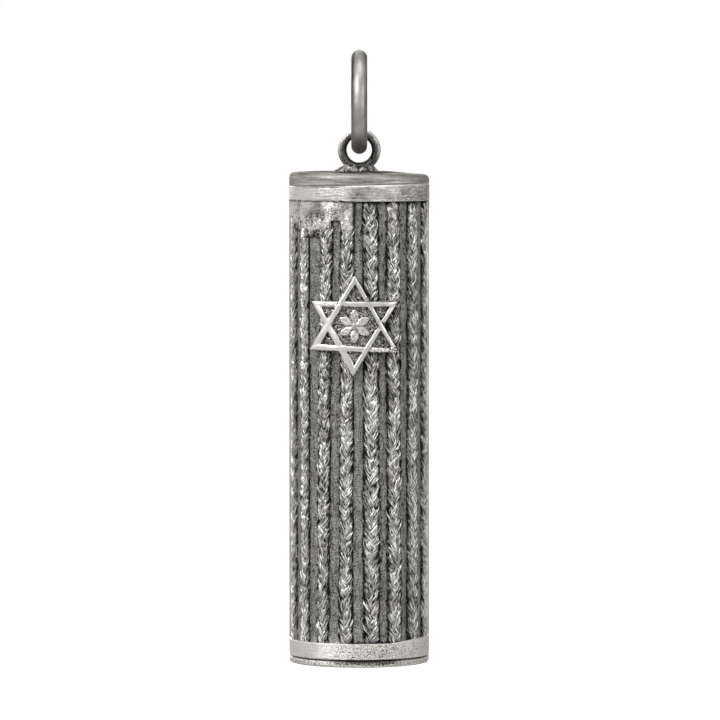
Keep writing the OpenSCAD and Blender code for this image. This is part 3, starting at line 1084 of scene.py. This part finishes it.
def makeFlood():
    s = floodSet
    ob, along, up = addSheet("solder_flood", s["columns"], s["rows"])
    angle = np.radians(s["from"] + (s["to"] - s["from"]) * along)
    below = s["deep"] * (1 - up) - 0.12
    x = bandR / mm * np.sin(angle)
    flat = np.c_[x, np.zeros(len(x)), below]
    ragged = wobble(flat, 0.55, 3) * 0.28 + wobble(flat, 0.2, 5) * 0.08
    ends = np.interp(x, s["across"], s["ends"])
    soft = np.interp(x, s["across"], s["soft"])
    cover = smooth((ends + ragged * (soft > 0.5) + 0.25 * ragged - below) / soft, -0.5, 0.5)
    cover *= smooth(-x, 0.26, 0.42 + 0.06 * np.sin(below * 5))
    lumps = 0.022 * wobble(flat * (1, 1, 0.6), 0.5, 9) + 0.012 * wobble(flat * (1, 1, 0.5), 0.22, 4) - 0.016
    height = s["proud"] * cover ** 0.6 + lumps * cover - s["sunk"]
    r = shellR / mm + height
    up = bandLow.z / mm - below
    writePoints(ob, np.c_[r * np.sin(angle), axisY / mm - r * np.cos(angle), up] * mm)
    faceOut(ob, lambda centre: Vector((centre.x, centre.y - axisY, 0)))
    addWall(ob, s["wall"], -1)
    smoothShade(ob)
    co = readPoints(ob) / mm
    cover = smooth((aroundAxis(readPoints(ob))[1] - shellR) / mm, 0.02, 0.22)
    below = bandLow.z / mm - co[:, 2]
    stain = 0
    for x, wide, z, tall, much in s["stains"]:
        stain += much * hill(co[:, 0], x, wide) * hill(below, z, tall)
    streaks = wobble(co * (1, 1, 0.35), 0.3, 17) + 0.7 * wobble(co * (1, 1, 0.6), 0.13, 5)
    reliefAndShading = 0.12 + 0.56 * cover - 0.42 * stain * (1 + 0.6 * streaks) + 0.26 * wobble(co, 0.8, 21)
    reliefAndShading -= 0.22 * smooth(co[:, 0], -2.6, -1.6)
    reliefAndShading += streaks * (0.26 + 0.2 * smooth(below, 0.4, 1.6) * smooth(-co[:, 0], 1.8, 2.6))
    # painted shade along its top under the band and along its right edge
    reliefAndShading -= 0.45 * (1 - smooth(below, 0.02, 0.09)) + 0.5 * smooth(co[:, 0], -0.62, -0.4)
    paint(ob, "reliefAndShading", reliefAndShading)
    paint(ob, "sand", 0.25 + 0.6 * smooth(below, 0.6, 2.0) * smooth(-co[:, 0], 1.8, 2.6))
    seat(ob, "case", "silver", solderSilver)


makeFlood()
print("solder flowed")


# the star plaque

starSet = {
    "turn": 3.7, "bend": 7.5, "field": 5.55,
    "voxel": 0.045, "groundVoxel": 0.075, "flowerVoxel": 0.04,
    "low": -0.12,    # how deep the bars' feet sink into the field
    "top": 0.27,
    "dip": 0.12,     # where a bar passes under another
    "lift": 0.035,   # and where it passes over
    "stipple": 0.035, "vein": 0.05,
    "sides": 44,
}
# the six bars: corner to corner in degrees, width at each end, and whether each crossing
# is over, under or run together
barList = [
    {"from": 90, "to": 210, "wide": (0.37, 0.52), "cross": ("over", "run")},     # left of the upright one
    {"from": 210, "to": 330, "wide": (0.46, 0.34), "cross": ("run", "under")},   # its foot
    {"from": 330, "to": 90, "wide": (0.35, 0.32), "cross": ("over", "under")},   # its right
    {"from": 150, "to": 30, "wide": (0.42, 0.4), "cross": ("under", "over")},    # top of the other one
    {"from": 30, "to": 270, "wide": (0.33, 0.37), "cross": ("under", "over")},   # its right
    {"from": 270, "to": 150, "wide": (0.54, 0.45), "cross": ("run", "run")},      # its left
]
# the corners, as filed by hand
cornerList = {90: (0.03, 3.88), 270: (-0.1, -3.82), 210: (-3.52, -1.8), 330: (3.42, -2.04),
              30: (3.32, 1.87), 150: (-3.34, 1.9)}


def onStar(u, v, h):
    # a point of the plaque, h in front of its bent field, all in millimetres
    s = starSet
    y = s["bend"] - s["field"] - np.sqrt((s["bend"] + h) ** 2 - u ** 2)
    a = math.radians(s["turn"])
    return np.stack([u * math.cos(a) + y * math.sin(a),
                     -u * math.sin(a) + y * math.cos(a) + axisY / mm,
                     v + starMiddle], axis=-1)


def makeBar(bar, number):
    s = starSet
    start = np.array(cornerList[bar["from"]])
    stop = np.array(cornerList[bar["to"]])
    run = stop - start
    length = np.linalg.norm(run)
    run = run / length
    side = np.array([-run[1], run[0]])
    if side @ (start + stop) > 0:
        side = -side  # it points inwards, to the star's middle
    ob = addShape(f"bar_{number}", bpy.ops.mesh.primitive_cube_add, size=1)
    bpy.ops.object.mode_set(mode="EDIT")
    bpy.ops.mesh.select_all(action="SELECT")
    bpy.ops.mesh.subdivide(number_cuts=s["sides"])
    bpy.ops.object.mode_set(mode="OBJECT")
    co = readPoints(ob)
    t, w, h = co[:, 0] + 0.5, co[:, 1] + 0.5, co[:, 2] + 0.5
    wide = bar["wide"][0] + (bar["wide"][1] - bar["wide"][0]) * t
    wide = wide * (1 + 0.07 * np.sin(t * 21 + number * 2.1) * np.sin(t * 9 + number))
    # ends are cut along the corner's own middle line
    along = t * length + (0.5 - t) * 2 * w * wide * math.tan(math.radians(60))
    along = np.clip(along, 0, length)
    top = s["top"] + 0.012 * np.sin(t * 17 + number) - 0.03 * (2 * w - 1) ** 2
    for place, how in zip((1 / 3, 2 / 3), bar["cross"]):
        gap = np.abs(along / length - place) * length
        if how == "under":
            top = top - s["dip"] * (1 - smooth(gap, 0.2, 0.34))
        elif how == "over":
            top = top + s["lift"] * (1 - smooth(gap, 0.2, 0.7))
    height = s["low"] + (top - s["low"]) * h
    flat = start[None] + run[None] * along[:, None] + side[None] * (w * wide)[:, None]
    writePoints(ob, onStar(flat[:, 0], flat[:, 1], height))
    return ob


def fieldHeight(co):
    # how far points stand in front of the star's bent field, in millimetres
    s = starSet
    a = math.radians(s["turn"])
    x, y = co[:, 0] / mm, co[:, 1] / mm - axisY / mm
    u = x * math.cos(a) - y * math.sin(a)
    w = x * math.sin(a) + y * math.cos(a)
    return np.hypot(u, w - (s["bend"] - s["field"])) - s["bend"], u, co[:, 2] / mm - starMiddle


def makeStarFrame():
    bars = [makeBar(bar, i + 1) for i, bar in enumerate(barList)]
    ob = joinAll(bars, "star_bars")
    ob.data.transform(Matrix.Scale(mm, 4))
    fuse(ob, starSet["voxel"], 2)
    co = readPoints(ob)
    height, u, v = fieldHeight(co)
    normal = readNormals(ob)
    facing = -normal[:, 1]
    rub = 0.08 + 0.62 * smooth(facing, 0.6, 0.97) * smooth(height, 0.04, 0.2)
    # a painted highlight, with polished wear, on the star's lower left, and painted shade towards its right
    lowerLeft = smooth(-(u + v) / 3.8, -0.3, 0.6)
    rub -= 0.1 * smooth(u, 0.5, 2.5)
    paint(ob, "reliefAndShading", rub + 0.2 * lowerLeft - 0.03 + 0.12 * wobble(co, 0.5 * mm, 3)
          + 0.25 * (proud(ob) - 0.5))
    rough = (abs(v - 1.75) < 0.35) * smooth(-u, 0.9, 1.2) + (abs(v + 1.85) < 0.35) * smooth(u, 1.0, 1.4)
    paint(ob, "sand", np.clip(rough, 0, 1) * (1 - lowerLeft * 0.7))
    seat(ob, "case", "silver", starSilver, "star_frame")


def makeStarGround():
    ob = fuse(cadCopy("star_plate", "star_ground"), starSet["groundVoxel"], 1)
    co = readPoints(ob)
    height = fieldHeight(co)[0]
    front = smooth(height, -0.2, -0.05) * (-readNormals(ob)[:, 1] > 0.5)
    stipple = wobble(co, 0.16 * mm, 6)
    co[:, 1] -= (stipple * starSet["stipple"] - 0.02) * mm * front
    writePoints(ob, co)
    # painted shade on the plaque's sides, below its field
    paint(ob, "reliefAndShading", 0.6 + 0.4 * stipple * front - 0.6 * (1 - smooth(height, -0.5, -0.1)))
    seat(ob, "case", "dark_silver", groundSilver, "star_plate")


def makeRosette():
    ob = fuse(cadCopy("star_rosette", "star_flower"), starSet["flowerVoxel"], 3)
    co = readPoints(ob)
    height, u, v = fieldHeight(co)
    turn = np.degrees(np.arctan2(v, u))
    vein = np.exp(-(((turn + 30) % 60 - 30) * np.hypot(u, v) / 6.0) ** 2)
    dent = starSet["vein"] * mm * vein
    co[:, 1] += dent * smooth(height, 0.05, 0.15) * smooth(np.hypot(u, v), 0.15, 0.35)
    writePoints(ob, co)
    facing = -readNormals(ob)[:, 1]
    paint(ob, "reliefAndShading", 0.16 + 0.44 * smooth(facing, 0.6, 0.98) - 0.2 * vein + 0.3 * (proud(ob) - 0.5)
          + 0.1 * wobble(co, 0.3 * mm, 2))
    paint(ob, "sand", 0.35)
    seat(ob, "case", "silver", starSilver, "star_rosette")


makeStarGround()
makeStarFrame()
makeRosette()
print("star plaque done")


# hanging eye, its solder and the jump ring

ringLow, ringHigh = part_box("jump_ring")
eyeLow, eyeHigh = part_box("hanging_eye")
ringSet = {
    "seam": 335, "seamWide": 1.1, "seamDeep": 0.035,  # degrees round the ring, and millimetres
    "dent": 0.012, "around": 160, "through": 40,
}
eyeSet = {"dent": 0.015, "around": 96, "through": 28}
beadList = [  # place across, out and up from the top plate, and radius
    (-0.66, 0.0, 0.04, 0.72), (0.66, 0.0, 0.0, 0.66), (0.0, 0.12, 0.0, 0.62), (-1.2, 0.05, -0.2, 0.6),
    (-1.6, 0.1, -0.42, 0.62), (0.2, -0.38, 0.0, 0.44), (-0.4, -0.42, 0.08, 0.46), (1.0, -0.05, -0.16, 0.5),
    (-0.3, 0.4, 0.0, 0.5), (0.36, -0.2, 0.26, 0.3),
]


def makeRing():
    wire = ringHigh.x - ringLow.x
    outer = (ringHigh.z - ringLow.z) / 2
    centre = (ringLow + ringHigh) / 2
    ob = addTorus("ring_wire", centre, wire, outer, (0, math.pi / 2, 0), ringSet)
    co = readPoints(ob)
    away = co[:, 1:] - (centre.y, centre.z)
    angle = np.degrees(np.arctan2(away[:, 1], away[:, 0])) % 360
    far = np.linalg.norm(away, axis=1)
    mid = np.c_[np.zeros(len(co)), away / far[:, None] * (outer - wire / 2) + (centre.y, centre.z)]
    out = (co - mid) / (wire / 2)
    seam = hill(angle, ringSet["seam"], ringSet["seamWide"])
    flat = ringSet["dent"] * (wobble(co, 1.3 * mm, 3) - 1)
    co += out * (flat - ringSet["seamDeep"] * seam)[:, None] * mm
    writePoints(ob, co)
    smoothShade(ob)
    up = away[:, 1] / outer
    # painted shade at the sides, along the left and at the very top, and painted light below; darker in the
    # seam
    reliefAndShading = 0.64 - 0.4 * smooth(np.abs(out[:, 0]), 0.5, 1.0) - 0.5 * seam + 0.16 * wobble(co, 0.8 * mm, 8)
    reliefAndShading -= 0.3 * smooth(-out[:, 0], 0.25, 0.8) * smooth(up, -0.4, 0.6)
    reliefAndShading += 0.14 * smooth(-up, 0.2, 0.9) - 0.34 * smooth(up, 0.62, 1.0)
    paint(ob, "reliefAndShading", reliefAndShading)
    seat(ob, "jump_ring", "silver", wireSilver, "jump_ring")


def makeEye():
    wire = eyeHigh.y - eyeLow.y
    outer = (eyeHigh.x - eyeLow.x) / 2
    centre = (eyeLow + eyeHigh) / 2
    ob = addTorus("eye_ring", centre, wire, outer, (math.pi / 2, 0, 0), eyeSet)
    co = readPoints(ob)
    far = np.linalg.norm(co[:, [0, 2]] - (centre.x, centre.z), axis=1)
    co += readNormals(ob) * (eyeSet["dent"] * (wobble(co, 0.8 * mm, 14) - 0.8) * mm)[:, None]
    writePoints(ob, co)
    smoothShade(ob)
    # rubbed on its outer rim, with a painted highlight there, and dark on its inner one
    rim = (far - outer + wire / 2) / (wire / 2)
    reliefAndShading = 0.38 + 0.55 * smooth(rim, 0.3, 0.75) - 0.2 * smooth(-rim, 0.2, 0.9)
    paint(ob, "reliefAndShading", reliefAndShading + 0.14 * wobble(co, 0.35 * mm, 4))
    seat(ob, "case", "silver", eyeSilver, "hanging_eye")


footSet = {"voxel": 0.05, "softness": 16, "dent": 0.04, "sunk": 0.12}


def makeSolder():
    parts = []
    for x, y, z, r in beadList:
        place = (x * mm, y * mm, plateHigh.z + z * mm)
        parts.append(addShape("bead", bpy.ops.mesh.primitive_ico_sphere_add, subdivisions=4,
                              radius=r * mm, location=place))
        bpy.ops.object.transform_apply(location=True, rotation=False, scale=False)
    ob = joinAll(parts, "eye_foot")
    fuse(ob, footSet["voxel"], footSet["softness"])
    co = readPoints(ob)
    co += readNormals(ob) * (footSet["dent"] * mm * wobble(co, 0.4 * mm, 2))[:, None]
    co[:, 2] = np.maximum(co[:, 2], plateHigh.z - footSet["sunk"] * mm)
    writePoints(ob, co)
    paint(ob, "reliefAndShading", 0.14 + 0.35 * (proud(ob, 5) - 0.5) + 0.3 * wobble(co, 0.28 * mm, 5))
    paint(ob, "sand", 0.3)
    seat(ob, "case", "silver", solderSilver, "eye_solder")


makeRing()
makeEye()
makeSolder()
print("ring and eye done")


# the parchment and its sleeve

rollSet = {
    "sheet": 0.11, "gap": 0.035, "hollow": 0.45, "perTurn": 56, "rows": 24,
    "short": 0.012,    # share of the height that the sheet is shorter by, at each end
    "spread": 0.22,    # how unevenly the layers' edges stand at the ends
    "slip": 0.1,       # and along the whole sheet
    "spare": 0.02,     # least distance from the ends of its room
}


def makeScroll():
    r = rollSet
    low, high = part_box("parchment_scroll")
    outer = (high.x - low.x) / 2 / mm
    centre = (low + high) / 2
    pitch = r["sheet"] + r["gap"]
    inner = r["hollow"] + r["sheet"]
    turns = (outer - r["sheet"] / 2 - inner) / pitch
    ob, along, up = addSheet("parchment_roll", int(turns * r["perTurn"]), r["rows"])
    angle = along * turns * 2 * math.pi
    far = inner + pitch * along * turns
    z = low.z / mm + (high.z - low.z) / mm * (r["short"] + (1 - 2 * r["short"]) * up)
    z += r["spread"] * np.sin(angle * 0.31) * (up - 0.5) + r["slip"] * np.sin(angle * 0.13 + 1)
    z = np.clip(z, low.z / mm + r["spare"], high.z / mm - r["spare"])
    writePoints(ob, np.c_[centre.x / mm + far * np.cos(angle), centre.y / mm + far * np.sin(angle), z] * mm)
    faceOut(ob, lambda at: Vector((at.x - centre.x, at.y - centre.y, 0)))
    addWall(ob, r["sheet"], 0)
    smoothShade(ob, 40)
    seat(ob, "scroll", "parchment", parchment, "parchment_scroll")


def makeSleeve():
    ob = cadCopy("scroll_sleeve", "clear_sleeve")
    smoothShade(ob, 40)
    seat(ob, "scroll", "clear_film", clearFilm, "scroll_sleeve")


makeScroll()
makeSleeve()
print("parchment and sleeve done")
